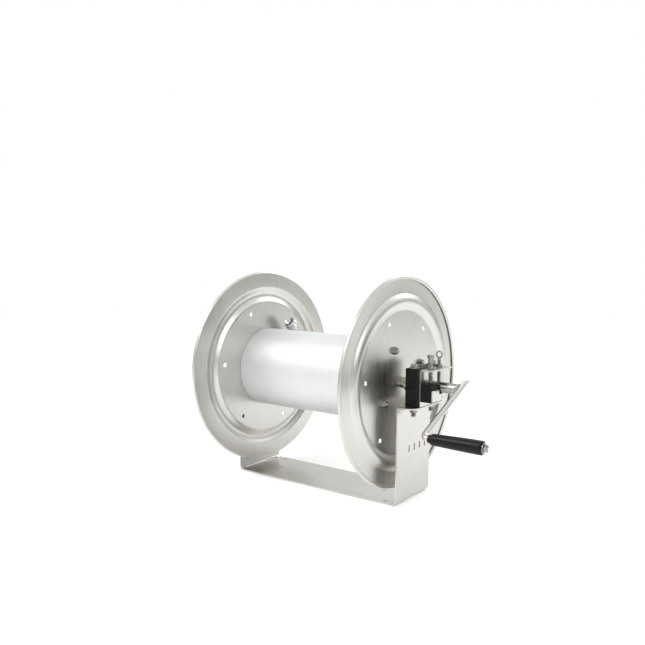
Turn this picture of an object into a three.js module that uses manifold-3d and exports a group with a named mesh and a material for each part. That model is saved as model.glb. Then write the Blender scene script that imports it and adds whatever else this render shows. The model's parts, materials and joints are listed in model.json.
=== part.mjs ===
// Manual stainless hose reel: a drum between two pressed discs, turned by a crank,
// in two split bearing blocks on a bent U-shaped strap frame.
// Millimetres. X runs along the axle toward the crank, Z is up, Z = 0 is the floor.
import * as THREE from 'three';
import { mergeVertices } from 'three/addons/utils/BufferGeometryUtils.js';
import Module from 'manifold-3d';

const wasm = await Module();
wasm.setup();

// ---- driving dimensions -------------------------------------------------------------

const AXIS_HEIGHT = 252;
const CLEARANCE = 0.3;

const STRAP_THICKNESS = 3;
const STRAP_WIDTH = 135;
const UPRIGHT_OUTER_X = 227.5;
const STRAP_BEND_RADIUS = 10.5;
const SHELF_BEND_RADIUS = 4.5;
const SHELF_TOP_Z = AXIS_HEIGHT - 40;
const SHELF_END_X = 267;
const SHELF_CORNER_RADIUS = 26;
const FLOOR_HOLE_RADIUS = 4.5;
const FLOOR_HOLE_CORNER = { x: 192, y: 56 };
const FLOOR_HOLE_CENTRE_X = 153;
const UPRIGHT_SLOT = { width: 4.5, height: 15, z: 115, firstY: -19, pitch: 21.5, count: 4 };
const BEND_SLOT = { length: 40, width: 7, inletY: 36, crankY: 8 };

const DISC_RADIUS = 228.5;
const DISC_THICKNESS = 2;
const DISC_INNER_X = 194.5;
const RIM_CURL_RADIUS = 3.75;
const BEAD_INNER_RADIUS = 157;
const BEAD_OUTER_RADIUS = 191;
const BEAD_HEIGHT = 7;
const DISC_HOLE = { radius: 5, circle: 139, count: 6, startAngle: 53 };

const BARREL_RADIUS = 92;
const BARREL_WALL = 2;
const END_PLATE_THICKNESS = 4;

const TIE_ROD = { radius: 4, circle: 80, count: 4, startAngle: 26, endX: 207 };

const AXLE_RADIUS = 11;
const AXLE_INNER_X = 187;
const AXLE_BORE_RADIUS = 6.5;
const INLET_AXLE_END_X = -298;
const COLLAR = { startX: 207.5, length: 12, radius: 17, screwRadius: 3 };

const BLOCK = { width: 95, height: 80, thickness: 29, centreX: 247 };
const CLAMP_BOLT = { radius: 5, y: 36 };

const BRAKE_PLATE = { thickness: 3, halfWidth: 41, startX: 262.2, endX: 294, topZ: AXIS_HEIGHT + 39 };
const SADDLE = {
  startX: 266, endX: 291, halfWidth: 41, frontBottom: -28, backBottom: -14, frontTop: 10, backTop: 2,
};
const KEEPER = { top: -3, step: -12.5, bottom: -26, endY: 1, cornerRadius: 10, thickness: 3 };
const BRAKE_SCREW = { radius: 4, x: 275, y: 18, bottomZ: AXIS_HEIGHT - 9, headZ: AXIS_HEIGHT + 58 };

const CRANK = {
  planeX: 334.8, rodRadius: 6.35, angle: 205.5, radius: 163, tail: 48, tailTopZ: 14.5, bendRadius: 12,
};
const AXLE_CRANK_END_X = 332;
const GRIP = { neckX: 348, startX: 355, endX: 460, neckRadius: 8, innerRadius: 11, outerRadius: 13.5 };
const GRIP_STUD = { radius: 4, endX: 470 };

const OUTLET = {
  x: -164, angle: 50, tubeRadius: 10.5, boreRadius: 7, feedBendRadius: 18, bendRadius: 14,
  mouthRadius: 109.5, reach: 17.5,
};
const COUPLING = { outerRadius: 14.5, boreRadius: 11.5, length: 19 };

const SWIVEL = { startX: -317, endX: -270, radius: 20, wall: 4, sealX: -285 };
const PORT = { x: -305, radius: 13, boreRadius: 7, reach: 48 };

// ---- finishes -----------------------------------------------------------------------

const finish = (color, metalness, roughness) => ({ color, metalness, roughness });
const BRUSHED = finish(0xb9b9b4, 0.9, 0.38);
const BARREL_FINISH = finish(0xd7dadb, 0.7, 0.45);
const BOLT_STEEL = finish(0x9a9c9c, 0.9, 0.35);
const BLACK_PLASTIC = finish(0x16181a, 0.0, 0.5);
const BRASS = finish(0xb08d45, 0.85, 0.35);
const RUBBER = finish(0x1c1c1c, 0.0, 0.8);

// ---- geometry helpers ---------------------------------------------------------------

const radians = (degrees) => degrees * Math.PI / 180;

function toSolid(geometry) {
  const bare = new THREE.BufferGeometry();
  bare.setAttribute('position', geometry.getAttribute('position').clone());
  if (geometry.index) {
    bare.setIndex(geometry.index.clone());
  }
  const merged = mergeVertices(bare, 1e-4);
  const mesh = new wasm.Mesh({
    numProp: 3,
    vertProperties: new Float32Array(merged.getAttribute('position').array),
    triVerts: new Uint32Array(merged.index.array),
  });
  return new wasm.Manifold(mesh);
}

function toGeometry(solid) {
  const mesh = solid.getMesh();
  const geometry = new THREE.BufferGeometry();
  geometry.setAttribute('position', new THREE.BufferAttribute(mesh.vertProperties, 3));
  geometry.setIndex(new THREE.BufferAttribute(mesh.triVerts, 1));
  geometry.computeVertexNormals();
  return geometry;
}

function cut(geometry, tools) {
  let solid = toSolid(geometry);
  for (const tool of tools) {
    solid = solid.subtract(toSolid(tool));
  }
  return toGeometry(solid);
}

function join(pieces) {
  let solid = toSolid(pieces[0]);
  for (const piece of pieces.slice(1)) {
    solid = solid.add(toSolid(piece));
  }
  return toGeometry(solid);
}

// Revolves [position along X, radius] points about the X axis.
function turned(profile, segments = 32) {
  const points = profile.map(([along, radius]) => new THREE.Vector2(radius, along));
  const geometry = new THREE.LatheGeometry(points, segments);
  geometry.rotateZ(-Math.PI / 2);
  return geometry;
}

function rodAlongX(startX, endX, radius, segments = 24) {
  return turned([[startX, 0], [startX, radius], [endX, radius], [endX, 0]], segments);
}

function tubeAlongX(startX, endX, outerRadius, innerRadius, segments = 32) {
  const profile = [
    [startX, innerRadius], [startX, outerRadius],
    [endX, outerRadius], [endX, innerRadius], [startX, innerRadius],
  ];
  return turned(profile, segments);
}

function rodAlongZ(bottomZ, topZ, radius, segments = 24) {
  const geometry = rodAlongX(bottomZ, topZ, radius, segments);
  geometry.rotateY(-Math.PI / 2);
  return geometry;
}

function hexAlongZ(bottomZ, topZ, acrossFlats) {
  const geometry = rodAlongZ(bottomZ, topZ, acrossFlats / Math.sqrt(3), 6);
  return geometry;
}

function hexAlongX(startX, endX, acrossFlats) {
  return rodAlongX(startX, endX, acrossFlats / Math.sqrt(3), 6);
}

function box(minX, maxX, minY, maxY, minZ, maxZ) {
  const geometry = new THREE.BoxGeometry(maxX - minX, maxY - minY, maxZ - minZ);
  geometry.translate((minX + maxX) / 2, (minY + maxY) / 2, (minZ + maxZ) / 2);
  return geometry;
}

// Extrudes a shape drawn in the Y-Z plane from startX to endX, edges eased by the bevel.
function slabAlongX(shape, startX, endX, bevel = 0) {
  const geometry = new THREE.ExtrudeGeometry(shape, {
    depth: endX - startX - 2 * bevel,
    bevelEnabled: bevel > 0,
    bevelThickness: bevel,
    bevelSize: bevel,
    bevelOffset: -bevel,
    bevelSegments: 1,
    curveSegments: 10,
  });
  geometry.rotateZ(Math.PI / 2);
  geometry.rotateY(Math.PI / 2);
  geometry.translate(startX + bevel, 0, 0);
  return geometry;
}

// Straight runs through the corner points, each inner corner rounded to its radius.
function bentLine(corners, radii, steps) {
  const points = [corners[0]];
  for (let i = 1; i < corners.length - 1; i += 1) {
    const before = corners[i].clone().sub(corners[i - 1]).normalize();
    const after = corners[i + 1].clone().sub(corners[i]).normalize();
    const turn = before.angleTo(after);
    const hinge = new THREE.Vector3().crossVectors(before, after).normalize();
    const inward = new THREE.Vector3().crossVectors(hinge, before);
    const start = corners[i].clone().addScaledVector(before, -radii[i - 1] * Math.tan(turn / 2));
    const centre = start.clone().addScaledVector(inward, radii[i - 1]);
    for (let step = 0; step <= steps; step += 1) {
      const spoke = start.clone().sub(centre).applyAxisAngle(hinge, turn * step / steps);
      points.push(centre.clone().add(spoke));
    }
  }
  points.push(corners[corners.length - 1]);
  return points;
}

// Outline, in the X-Y plane, of sheet of even thickness that follows an open line.
function sheetOutline(points, thickness) {
  const left = [];
  const right = [];
  points.forEach((point, i) => {
    const previous = points[Math.max(i - 1, 0)];
    const next = points[Math.min(i + 1, points.length - 1)];
    const direction = next.clone().sub(previous).normalize();
    const offset = new THREE.Vector2(-direction.y, direction.x).multiplyScalar(thickness / 2);
    left.push(new THREE.Vector2(point.x, point.y).add(offset));
    right.push(new THREE.Vector2(point.x, point.y).sub(offset));
  });
  return [...left, ...right.reverse()];
}

// Sheet bent in the X-Z plane and running along Y, centred on Y = 0.
function bentSheet(corners, radii, steps, thickness, width) {
  const outline = sheetOutline(bentLine(corners, radii, steps), thickness);
  const geometry = new THREE.ExtrudeGeometry(new THREE.Shape(outline), {
    depth: width,
    bevelEnabled: false,
  });
  geometry.rotateX(Math.PI / 2);
  geometry.translate(0, width / 2, 0);
  return geometry;
}

// Path that passes through its points at even parameter steps, however far apart they are.
class StationPath extends THREE.Curve {
  constructor(points) {
    super();
    this.points = points;
  }

  getPoint(t) {
    const last = this.points.length - 1;
    const place = THREE.MathUtils.clamp(t, 0, 1) * last;
    const index = Math.min(Math.floor(place), last - 1);
    return this.points[index].clone().lerp(this.points[index + 1], place - index);
  }

  getPointAt(u) {
    return this.getPoint(u);
  }

  getTangentAt(u) {
    return this.getTangent(u);
  }
}

// Round bar, or a pipe when it has a bore, along the given points.
function roundAlong(points, radius, boreRadius = 0, curveSegments = 10) {
  const shape = new THREE.Shape();
  shape.absarc(0, 0, radius, 0, 2 * Math.PI, false);
  if (boreRadius > 0) {
    const bore = new THREE.Path();
    bore.absarc(0, 0, boreRadius, 0, 2 * Math.PI, true);
    shape.holes.push(bore);
  }
  return new THREE.ExtrudeGeometry(shape, {
    steps: points.length - 1,
    bevelEnabled: false,
    extrudePath: new StationPath(points),
    curveSegments,
  });
}

// Places a copy of a geometry around the axle at the given angle from +Y toward +Z.
function aroundAxle(geometry, radius, angle) {
  const copy = geometry.clone();
  copy.translate(0, radius, 0);
  copy.rotateX(radians(angle));
  return copy;
}

function onAxis(geometry) {
  geometry.translate(0, 0, AXIS_HEIGHT);
  return geometry;
}

// The same piece at the opposite end, turned half round about Z.
function atOtherEnd(geometry) {
  const copy = geometry.clone();
  copy.rotateZ(Math.PI);
  return copy;
}

function part(name, geometry, look) {
  const material = new THREE.MeshStandardMaterial(look);
  const mesh = new THREE.Mesh(geometry, material);
  mesh.name = name;
  return mesh;
}

// ---- frame --------------------------------------------------------------------------

function strapBody() {
  const half = STRAP_THICKNESS / 2;
  const uprightX = UPRIGHT_OUTER_X - half;
  const shelfZ = SHELF_TOP_Z - half;
  const corners = [
    new THREE.Vector3(-SHELF_END_X, shelfZ, 0),
    new THREE.Vector3(-uprightX, shelfZ, 0),
    new THREE.Vector3(-uprightX, half, 0),
    new THREE.Vector3(uprightX, half, 0),
    new THREE.Vector3(uprightX, shelfZ, 0),
    new THREE.Vector3(SHELF_END_X, shelfZ, 0),
  ];
  const radii = [SHELF_BEND_RADIUS, STRAP_BEND_RADIUS, STRAP_BEND_RADIUS, SHELF_BEND_RADIUS];
  return bentSheet(corners, radii, 6, STRAP_THICKNESS, STRAP_WIDTH);
}

function floorHoles() {
  const holes = [];
  for (const side of [-1, 1]) {
    const places = [
      [side * FLOOR_HOLE_CORNER.x, FLOOR_HOLE_CORNER.y],
      [side * FLOOR_HOLE_CORNER.x, -FLOOR_HOLE_CORNER.y],
      [side * FLOOR_HOLE_CENTRE_X, 0],
    ];
    for (const [x, y] of places) {
      const hole = rodAlongZ(-5, STRAP_THICKNESS + 5, FLOOR_HOLE_RADIUS, 20);
      hole.translate(x, y, 0);
      holes.push(hole);
    }
  }
  return holes;
}

function uprightSlots() {
  const slots = [];
  for (let i = 0; i < UPRIGHT_SLOT.count; i += 1) {
    const y = UPRIGHT_SLOT.firstY + i * UPRIGHT_SLOT.pitch;
    const slot = box(
      UPRIGHT_OUTER_X - 8, UPRIGHT_OUTER_X + 8,
      y - UPRIGHT_SLOT.width / 2, y + UPRIGHT_SLOT.width / 2,
      UPRIGHT_SLOT.z - UPRIGHT_SLOT.height / 2, UPRIGHT_SLOT.z + UPRIGHT_SLOT.height / 2,
    );
    slots.push(slot);
  }
  return slots;
}

function bendSlots() {
  const inner = UPRIGHT_OUTER_X - STRAP_BEND_RADIUS - BEND_SLOT.width / 2;
  const slots = [];
  for (const [side, y] of [[-1, BEND_SLOT.inletY], [1, BEND_SLOT.crankY]]) {
    const slot = box(
      inner, inner + BEND_SLOT.width,
      y - BEND_SLOT.length / 2, y + BEND_SLOT.length / 2, -5, 12,
    );
    if (side < 0) {
      slot.translate(-2 * inner - BEND_SLOT.width, 0, 0);
    }
    slots.push(slot);
  }
  return slots;
}

// Removes the square corner of a shelf outside its rounding.
function shelfCornerTools() {
  const radius = SHELF_CORNER_RADIUS;
  const shape = new THREE.Shape();
  shape.moveTo(0, radius);
  shape.absarc(0, 0, radius, Math.PI / 2, 0, true);
  shape.lineTo(radius + 2, 0);
  shape.lineTo(radius + 2, radius + 2);
  shape.lineTo(0, radius + 2);
  shape.closePath();
  const tools = [];
  for (const sideX of [-1, 1]) {
    for (const sideY of [-1, 1]) {
      const tool = new THREE.ExtrudeGeometry(shape, { depth: 12, bevelEnabled: false, curveSegments: 8 });
      if (sideX * sideY < 0) {
        tool.rotateZ(Math.PI / 2 * sideY);
      } else if (sideX < 0) {
        tool.rotateZ(Math.PI);
      }
      tool.translate(
        sideX * (SHELF_END_X - radius),
        sideY * (STRAP_WIDTH / 2 - radius),
        SHELF_TOP_Z - 8,
      );
      tools.push(tool);
    }
  }
  return tools;
}

function clampBoltHoles() {
  const holes = [];
  for (const x of [-BLOCK.centreX, BLOCK.centreX]) {
    for (const y of [-CLAMP_BOLT.y, CLAMP_BOLT.y]) {
      const hole = rodAlongZ(SHELF_TOP_Z - 12, SHELF_TOP_Z + 90, CLAMP_BOLT.radius + CLEARANCE, 16);
      hole.translate(x, y, 0);
      holes.push(hole);
    }
  }
  return holes;
}

function frameStrap() {
  const tools = [
    ...floorHoles(), ...uprightSlots(), ...bendSlots(), ...shelfCornerTools(), ...clampBoltHoles(),
  ];
  return part('frame_strap', cut(strapBody(), tools), BRUSHED);
}

// ---- bearing blocks -----------------------------------------------------------------

// Upper or lower half of a split block, drawn across the axle with a half-round seat.
function blockHalfShape(upper) {
  const halfWidth = BLOCK.width / 2;
  const seat = AXLE_RADIUS + CLEARANCE;
  const split = CLEARANCE / 2;
  const far = BLOCK.height / 2 - (upper ? 0 : CLEARANCE);
  const opening = Math.asin(split / seat);
  const shape = new THREE.Shape();
  shape.moveTo(seat * Math.cos(opening), split);
  shape.lineTo(halfWidth, split);
  shape.lineTo(halfWidth, far);
  shape.lineTo(-halfWidth, far);
  shape.lineTo(-halfWidth, split);
  shape.lineTo(-seat * Math.cos(opening), split);
  shape.absarc(0, 0, seat, Math.PI - opening, opening, true);
  return shape;
}

function bearingHalf(name, sideX, upper) {
  const start = BLOCK.centreX - BLOCK.thickness / 2;
  const half = slabAlongX(blockHalfShape(upper), start, start + BLOCK.thickness, 0);
  if (!upper) {
    half.rotateX(Math.PI);
  }
  onAxis(half);
  const placed = sideX < 0 ? atOtherEnd(half) : half;
  return part(name, cut(placed, clampBoltHoles()), BLACK_PLASTIC);
}

// Flanged hex bolt hanging down from its head, seated on the top of the block.
function clampBolt(name, x, y) {
  const seatZ = AXIS_HEIGHT + BLOCK.height / 2 + CLEARANCE;
  const geometry = join([
    rodAlongZ(seatZ, seatZ + 1.6, 10.5, 20),
    hexAlongZ(seatZ + 1, seatZ + 8, 16),
    rodAlongZ(SHELF_TOP_Z - 22, seatZ + 2, CLAMP_BOLT.radius, 16),
  ]);
  geometry.translate(x, y, 0);
  return part(name, geometry, BOLT_STEEL);
}

function clampNut(name, x, y) {
  const topZ = SHELF_TOP_Z - STRAP_THICKNESS - CLEARANCE;
  const body = join([
    rodAlongZ(topZ - 1.6, topZ, 10, 20),
    hexAlongZ(topZ - 9.5, topZ - 1, 16),
  ]);
  const bore = rodAlongZ(topZ - 15, topZ + 5, CLAMP_BOLT.radius + CLEARANCE, 16);
  const geometry = cut(body, [bore]);
  geometry.translate(x, y, 0);
  return part(name, geometry, BOLT_STEEL);
}

function bearingParts() {
  const parts = [];
  for (const [end, sideX] of [['crank', 1], ['inlet', -1]]) {
    parts.push(bearingHalf(`bearing_lower_${end}`, sideX, false));
    parts.push(bearingHalf(`bearing_upper_${end}`, sideX, true));
    for (const [place, sideY] of [['front', -1], ['back', 1]]) {
      const x = sideX * BLOCK.centreX;
      const y = sideY * CLAMP_BOLT.y;
      parts.push(clampBolt(`clamp_bolt_${end}_${place}`, x, y));
      parts.push(clampNut(`clamp_nut_${end}_${place}`, x, y));
    }
  }
  return parts;
}

// ---- friction brake -----------------------------------------------------------------

function screwHoles(bottomZ, topZ, radius) {
  return [-1, 1].map((side) => {
    const hole = rodAlongZ(bottomZ, topZ, radius, 16);
    hole.translate(BRAKE_SCREW.x, side * BRAKE_SCREW.y, 0);
    return hole;
  });
}

// Upright leg against the block, turned outward at the top as a flange.
function brakeBracket() {
  const { thickness, halfWidth, startX, endX, topZ } = BRAKE_PLATE;
  const corners = [
    new THREE.Vector3(startX + thickness / 2, SHELF_TOP_Z + CLEARANCE, 0),
    new THREE.Vector3(startX + thickness / 2, topZ - thickness / 2, 0),
    new THREE.Vector3(endX, topZ - thickness / 2, 0),
  ];
  const sheet = bentSheet(corners, [4.5], 5, thickness, 2 * halfWidth);
  const axleHole = onAxis(rodAlongX(startX - 5, startX + 8, AXLE_RADIUS + 2, 28));
  const tools = [axleHole, ...screwHoles(topZ - 8, topZ + 8, BRAKE_SCREW.radius + 0.5)];
  return part('brake_bracket', cut(sheet, tools), BRUSHED);
}

// Pad under the axle, open at the top and taller on its front side.
function brakeSaddle() {
  const { startX, endX, halfWidth, frontBottom, backBottom, frontTop, backTop } = SADDLE;
  const seat = AXLE_RADIUS + CLEARANCE;
  const shape = new THREE.Shape();
  shape.moveTo(-halfWidth, frontBottom);
  shape.lineTo(-KEEPER.cornerRadius, frontBottom);
  shape.lineTo(0, backBottom);
  shape.lineTo(halfWidth, backBottom);
  shape.lineTo(halfWidth, backTop);
  shape.lineTo(seat, backTop);
  shape.absarc(0, 0, seat, 0, -Math.PI, true);
  shape.lineTo(-seat, frontTop);
  shape.lineTo(-halfWidth, frontTop);
  shape.closePath();
  const body = onAxis(slabAlongX(shape, startX, endX));
  const bottomZ = BRAKE_SCREW.bottomZ - CLEARANCE;
  const holes = screwHoles(bottomZ, AXIS_HEIGHT + frontTop + 5, BRAKE_SCREW.radius + CLEARANCE);
  return part('brake_saddle', cut(body, holes), BLACK_PLASTIC);
}

// Steel plate on the outer face of the saddle, rounded under the axle.
function brakeKeeper() {
  const { top, step, bottom, endY, cornerRadius, thickness } = KEEPER;
  const startY = -SADDLE.halfWidth;
  const shape = new THREE.Shape();
  shape.moveTo(startY, top);
  shape.lineTo(startY, bottom);
  shape.lineTo(endY - cornerRadius, bottom);
  shape.absarc(endY - cornerRadius, bottom + cornerRadius, cornerRadius, -Math.PI / 2, 0, false);
  shape.lineTo(endY, step);
  shape.lineTo(-AXLE_RADIUS - 2, step);
  shape.lineTo(-AXLE_RADIUS - 2, top);
  shape.closePath();
  const startX = SADDLE.endX + CLEARANCE;
  return part('brake_keeper', onAxis(slabAlongX(shape, startX, startX + thickness, 0.6)), BRUSHED);
}

function screwShank() {
  return rodAlongZ(BRAKE_SCREW.bottomZ, BRAKE_SCREW.headZ, BRAKE_SCREW.radius, 16);
}

// Thumb screw with two rounded wings.
function wingScrew() {
  const wing = new THREE.CylinderGeometry(5, 5, 4, 20);
  const wings = [-1, 1].map((side) => {
    const copy = wing.clone();
    copy.translate(side * 4, 0, BRAKE_SCREW.headZ + 6);
    return copy;
  });
  const neck = rodAlongZ(BRAKE_SCREW.headZ - 1, BRAKE_SCREW.headZ + 5, 5, 16);
  return join([screwShank(), neck, ...wings]);
}

// Screw with a round pull ring.
function ringScrew() {
  const ring = new THREE.TorusGeometry(6.5, 1.8, 8, 24);
  ring.rotateX(Math.PI / 2);
  ring.translate(0, 0, BRAKE_SCREW.headZ + 7.5);
  return join([screwShank(), ring]);
}

function brakeNut() {
  const seatZ = BRAKE_PLATE.topZ + CLEARANCE;
  const bore = rodAlongZ(seatZ - 5, seatZ + 12, BRAKE_SCREW.radius + CLEARANCE, 16);
  return cut(hexAlongZ(seatZ, seatZ + 6.5, 13), [bore]);
}

function brakeParts() {
  const parts = [brakeBracket(), brakeSaddle(), brakeKeeper()];
  for (const [place, side, screw] of [['front', -1, wingScrew()], ['back', 1, ringScrew()]]) {
    const nut = brakeNut();
    screw.translate(BRAKE_SCREW.x, side * BRAKE_SCREW.y, 0);
    nut.translate(BRAKE_SCREW.x, side * BRAKE_SCREW.y, 0);
    parts.push(part(`brake_screw_${place}`, screw, BOLT_STEEL));
    parts.push(part(`brake_nut_${place}`, nut, BOLT_STEEL));
  }
  return parts;
}

// ---- drum ---------------------------------------------------------------------------

// Middle line of a disc from its bore to the end of the rolled rim, as (distance out, radius).
function discLine() {
  const middle = DISC_THICKNESS / 2;
  const bore = AXLE_RADIUS + 0.5;
  const curl = RIM_CURL_RADIUS - middle;
  const rimRadius = DISC_RADIUS - RIM_CURL_RADIUS;
  const line = [[middle, bore], [middle, BEAD_INNER_RADIUS]];
  const beadSteps = 6;
  for (let i = 1; i < beadSteps; i += 1) {
    const t = i / beadSteps;
    const lift = BEAD_HEIGHT * Math.pow(Math.sin(Math.PI * t), 0.75);
    line.push([middle + lift, BEAD_INNER_RADIUS + t * (BEAD_OUTER_RADIUS - BEAD_INNER_RADIUS)]);
  }
  line.push([middle, BEAD_OUTER_RADIUS]);
  for (let angle = 0; angle <= 270; angle += 45) {
    const out = RIM_CURL_RADIUS - curl * Math.cos(radians(angle));
    line.push([out, rimRadius + curl * Math.sin(radians(angle))]);
  }
  return line.map(([out, radius]) => new THREE.Vector3(out, radius, 0));
}

function discGeometry() {
  const outline = sheetOutline(discLine(), DISC_THICKNESS);
  const profile = outline.map((point) => [DISC_INNER_X + point.x, point.y]);
  profile.push(profile[0]);
  const disc = turned(profile, 60);
  const tools = [];
  const hole = rodAlongX(DISC_INNER_X - 5, DISC_INNER_X + 12, DISC_HOLE.radius, 16);
  for (let i = 0; i < DISC_HOLE.count; i += 1) {
    tools.push(aroundAxle(hole, DISC_HOLE.circle, DISC_HOLE.startAngle + i * 360 / DISC_HOLE.count));
  }
  return cut(disc, [...tools, ...tieRodHoles()]);
}

function tieRodHoles() {
  const hole = rodAlongX(-TIE_ROD.endX, TIE_ROD.endX, TIE_ROD.radius + CLEARANCE, 12);
  const holes = [];
  for (let i = 0; i < TIE_ROD.count; i += 1) {
    holes.push(aroundAxle(hole, TIE_ROD.circle, TIE_ROD.startAngle + i * 360 / TIE_ROD.count));
  }
  return holes;
}

// Reflects a body of the crank end to the inlet end, keeping its faces outward.
function reflected(geometry) {
  const solid = toSolid(geometry);
  return toGeometry(solid.mirror([1, 0, 0]));
}

function discs() {
  const disc = discGeometry();
  return [
    part('disc_crank', onAxis(disc), BRUSHED),
    part('disc_inlet', reflected(disc), BRUSHED),
  ];
}

function outletDirection() {
  return new THREE.Vector3(0, Math.cos(radians(OUTLET.angle)), Math.sin(radians(OUTLET.angle)));
}

function barrel() {
  const end = DISC_INNER_X - CLEARANCE;
  const tube = tubeAlongX(-end, end, BARREL_RADIUS, BARREL_RADIUS - BARREL_WALL, 64);
  const port = rodAlongZ(60, 110, OUTLET.tubeRadius + 1, 24);
  port.rotateX(radians(OUTLET.angle - 90));
  port.translate(OUTLET.x, 0, 0);
  return part('barrel', onAxis(cut(tube, [port])), BARREL_FINISH);
}

// Plate inside a barrel end that centres the barrel and carries the axle.
function endPlateGeometry() {
  const outer = DISC_INNER_X - CLEARANCE;
  const inner = outer - END_PLATE_THICKNESS;
  const radius = BARREL_RADIUS - BARREL_WALL - CLEARANCE;
  const bore = AXLE_RADIUS + CLEARANCE;
  const plate = tubeAlongX(inner, outer, radius, bore, 48);
  return cut(plate, tieRodHoles());
}

function endPlates() {
  const plate = endPlateGeometry();
  return [
    part('end_plate_crank', onAxis(plate), BRUSHED),
    part('end_plate_inlet', reflected(plate), BRUSHED),
  ];
}

function tieRods() {
  const rod = rodAlongX(-TIE_ROD.endX, TIE_ROD.endX, TIE_ROD.radius, 12);
  const seat = DISC_INNER_X + DISC_THICKNESS + CLEARANCE;
  const bore = rodAlongX(seat - 5, seat + 15, TIE_ROD.radius + CLEARANCE, 12);
  const body = join([rodAlongX(seat, seat + 1.6, 8.5, 20), hexAlongX(seat + 1, seat + 8, 13)]);
  const nut = cut(body, [bore]);
  const parts = [];
  for (let i = 0; i < TIE_ROD.count; i += 1) {
    const angle = TIE_ROD.startAngle + i * 360 / TIE_ROD.count;
    const place = (geometry) => onAxis(aroundAxle(geometry, TIE_ROD.circle, angle));
    parts.push(part(`tie_rod_${i + 1}`, place(rod), BOLT_STEEL));
    parts.push(part(`tie_nut_crank_${i + 1}`, place(nut), BOLT_STEEL));
    parts.push(part(`tie_nut_inlet_${i + 1}`, place(reflected(nut)), BOLT_STEEL));
  }
  return parts;
}

// ---- axle and water way -------------------------------------------------------------

// The crank end is notched across so the crank rod sits in it.
function axles() {
  const rod = roundAlong(crankLine(), CRANK.rodRadius + CLEARANCE, 0, 12);
  const solidAxle = cut(rodAlongX(AXLE_INNER_X, AXLE_CRANK_END_X, AXLE_RADIUS, 28), [rod]);
  const hollowAxle = tubeAlongX(INLET_AXLE_END_X, -AXLE_INNER_X, AXLE_RADIUS, AXLE_BORE_RADIUS, 28);
  return [
    part('axle_crank', onAxis(solidAxle), BOLT_STEEL),
    part('axle_inlet', onAxis(hollowAxle), BOLT_STEEL),
  ];
}

// Collar with a set screw that keeps the drum centred between the blocks.
function shaftCollars() {
  const { startX, length, radius, screwRadius } = COLLAR;
  const ring = tubeAlongX(startX, startX + length, radius, AXLE_RADIUS + CLEARANCE, 32);
  const screw = rodAlongZ(radius - 2, radius + 3, screwRadius, 12);
  screw.translate(startX + length / 2, 0, 0);
  const collar = join([ring, screw]);
  return [
    part('shaft_collar_crank', onAxis(collar), BOLT_STEEL),
    part('shaft_collar_inlet', reflected(collar), BOLT_STEEL),
  ];
}

// Pipe inside the drum from the hollow axle out to the wall of the barrel.
function feedPipe() {
  const corners = [
    new THREE.Vector3(-AXLE_INNER_X + CLEARANCE, 0, 0),
    new THREE.Vector3(OUTLET.x, 0, 0),
    outletDirection().multiplyScalar(BARREL_RADIUS + 1).setX(OUTLET.x),
  ];
  const line = bentLine(corners, [OUTLET.feedBendRadius], 5);
  return part('feed_pipe', onAxis(roundAlong(line, OUTLET.tubeRadius, OUTLET.boreRadius)), BOLT_STEEL);
}

// Point beside the barrel, by its height over the axis and its offset along the winding.
function outletPoint(out, along) {
  const radial = outletDirection();
  return new THREE.Vector3(
    OUTLET.x,
    radial.y * out - radial.z * along,
    radial.z * out + radial.y * along,
  );
}

// Elbow outside the barrel that turns the water way along the wound hose.
function outletElbow() {
  const low = BARREL_RADIUS + 1 + CLEARANCE;
  const corners = [
    outletPoint(low, 0),
    outletPoint(OUTLET.mouthRadius, 0),
    outletPoint(OUTLET.mouthRadius, OUTLET.reach),
  ];
  const line = bentLine(corners, [OUTLET.bendRadius], 6);
  return part('outlet_elbow', onAxis(roundAlong(line, OUTLET.tubeRadius, OUTLET.boreRadius)), BOLT_STEEL);
}

function outletCoupling() {
  const { outerRadius, boreRadius, length } = COUPLING;
  const profile = [
    [0, OUTLET.boreRadius], [0, outerRadius - 2], [2, outerRadius], [length - 1, outerRadius],
    [length, outerRadius - 1], [length, boreRadius], [4, boreRadius], [4, OUTLET.boreRadius],
    [0, OUTLET.boreRadius],
  ];
  const coupling = turned(profile, 28);
  coupling.rotateZ(Math.PI / 2);
  coupling.rotateX(radians(OUTLET.angle + 90));
  const seat = outletPoint(OUTLET.mouthRadius, OUTLET.reach + CLEARANCE);
  coupling.translate(seat.x, seat.y, seat.z);
  return part('outlet_coupling', onAxis(coupling), BOLT_STEEL);
}

// ---- inlet swivel -------------------------------------------------------------------

// Closed sleeve that turns on the hollow axle, with a groove for its seal.
function swivelBody() {
  const { startX, endX, radius, wall, sealX } = SWIVEL;
  const bore = AXLE_RADIUS + CLEARANCE;
  const groove = radius - wall - 2;
  const edge = 3;
  const profile = [
    [startX, 0], [startX, radius - edge], [startX + edge, radius], [endX - edge, radius],
    [endX, radius - edge], [endX, bore], [sealX + 2, bore], [sealX + 2, groove],
    [sealX - 2, groove], [sealX - 2, bore], [startX + wall, bore], [startX + wall, 0],
  ];
  const hole = rodAlongZ(-radius - 5, 0, PORT.boreRadius, 20);
  hole.translate(PORT.x, 0, 0);
  return part('swivel_body', onAxis(cut(turned(profile, 36), [hole])), BRASS);
}

function swivelSeal() {
  const { sealX, radius, wall } = SWIVEL;
  const outer = radius - wall - 2 - CLEARANCE;
  const width = 2 - CLEARANCE;
  const seal = tubeAlongX(sealX - width, sealX + width, outer, AXLE_RADIUS + CLEARANCE, 36);
  return part('swivel_seal', onAxis(seal), RUBBER);
}

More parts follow.
